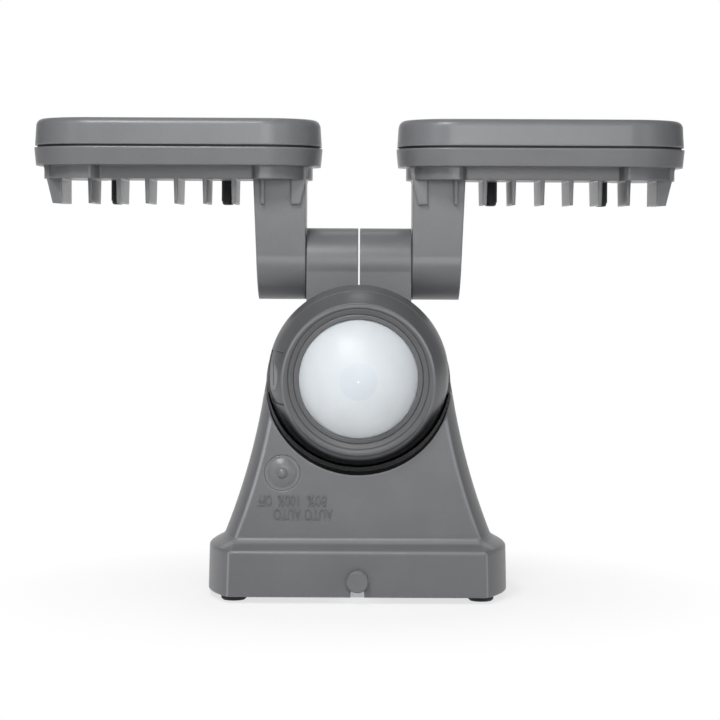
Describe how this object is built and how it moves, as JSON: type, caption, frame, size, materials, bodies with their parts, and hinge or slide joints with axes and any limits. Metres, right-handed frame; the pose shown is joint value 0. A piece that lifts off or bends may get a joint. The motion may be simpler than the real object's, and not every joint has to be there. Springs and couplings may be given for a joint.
{
  "type": "motion sensor security light",
  "caption": "Outdoor security light: ball-shaped motion sensor in a flared base, under finned lamp heads on tilting arms.",
  "frame": {"origin": "centre of the wall bracket's back face, under the centre of the round base, on the mounting surface", "axes": "+Z leads away from the mounting surface, up through the tower to the lamp heads; +X is to the right seen from the sensor's side; the sensor looks along -Y"},
  "size_m": [0.263, 0.0988, 0.1893],
  "materials": {
    "housing_plastic": "fine moulded texture",
    "head_plastic": "fine moulded texture",
    "sensor_plastic": "fine moulded texture",
    "button_plastic": "satin",
    "milky_lens": "milky, faceted inside",
    "clear_cover": "clear",
    "black_rubber": "matte",
    "black_steel": "blackened",
    "plated_steel": "zinc plated",
    "board_laminate": "solder mask",
    "white_board": "white solder mask on aluminium",
    "led_phosphor": "silicone over phosphor",
    "white_plastic": "gloss",
    "green_plastic": "moulded",
    "black_plastic": "moulded",
    "capacitor_sleeve": "printed sleeve",
    "core_steel": "ferrite"
  },
  "bodies": {
    "base": {"housing": "housing_plastic", "back_cover": "housing_plastic", "cover_screws": "plated_steel", "lead_grommet": "black_rubber", "wall_bracket": "plated_steel", "rubber_feet": "black_rubber", "driver_board": "board_laminate", "transformer": "core_steel", "capacitors": "capacitor_sleeve", "terminal_block": "green_plastic", "mode_switch": "black_plastic", "switch_board": "board_laminate", "sensor_stem": "sensor_plastic"},
    "left_head": {"left_head_housing": "head_plastic", "left_bezel": "head_plastic", "left_lamp_cover": "clear_cover", "left_gasket": "black_rubber", "left_reflector": "white_plastic", "left_led_board": "white_board", "left_leds": "led_phosphor", "left_head_screws": "black_steel", "left_sleeves": "black_rubber", "left_pivot_nut": "plated_steel", "left_wave_washer": "plated_steel", "left_pivot_seal": "black_rubber"},
    "right_head": {"right_head_housing": "head_plastic", "right_bezel": "head_plastic", "right_lamp_cover": "clear_cover", "right_gasket": "black_rubber", "right_reflector": "white_plastic", "right_led_board": "white_board", "right_leds": "led_phosphor", "right_head_screws": "black_steel", "right_sleeves": "black_rubber", "right_pivot_nut": "plated_steel", "right_wave_washer": "plated_steel", "right_pivot_seal": "black_rubber"},
    "sensor_swivel": {"swivel_cross": "black_plastic"},
    "sensor_ball": {"ball_front_shell": "sensor_plastic", "ball_rear_shell": "sensor_plastic", "pivot_frame": "sensor_plastic", "shell_screws": "plated_steel", "sensor_lens": "milky_lens", "lens_ring": "sensor_plastic", "sensor_board": "board_laminate", "infrared_detector": "plated_steel", "dial_panel": "sensor_plastic", "timer_pot": "black_plastic"},
    "dial": {"timer_dial": "button_plastic"},
    "button": {"mode_button": "button_plastic"},
    "screw": {"retaining_screw": "button_plastic"}
  },
  "joints": [
    {"name": "left_head_tilt", "type": "hinge", "parent": "base", "child": "left_head", "pos_m": [0, 0.022, 0.1314], "axis": [1, 0, 0], "range_deg": [-90, 70]},
    {"name": "right_head_tilt", "type": "hinge", "parent": "base", "child": "right_head", "pos_m": [0, 0.022, 0.1314], "axis": [1, 0, 0], "range_deg": [-90, 70]},
    {"name": "sensor_pan", "type": "hinge", "parent": "base", "child": "sensor_swivel", "pos_m": [0, -0.009, 0.0878], "axis": [0, 0, 1], "range_deg": [-25, 25]},
    {"name": "sensor_tilt", "type": "hinge", "parent": "sensor_swivel", "child": "sensor_ball", "pos_m": [0, -0.009, 0.0878], "axis": [1, 0, 0], "range_deg": [-15, 15]},
    {"name": "timer_dial_turn", "type": "hinge", "parent": "sensor_ball", "child": "dial", "pos_m": [0, -0.009, 0.0878], "axis": [-0.9511, -0.3089, -0.0092], "range_deg": [-135, 135]},
    {"name": "mode_button_press", "type": "slide", "parent": "base", "child": "button", "axis": [0, 0.9968, -0.0802], "range_m": [0, 0.0008], "stiffness_N_per_m": 1500, "springref_m": -0.0003},
    {"name": "retaining_screw_turn", "type": "hinge", "parent": "base", "child": "screw", "pos_m": [0, -0.032, 0.009], "axis": [0, -1, 0], "range_deg": [0, 360]}
  ]
}
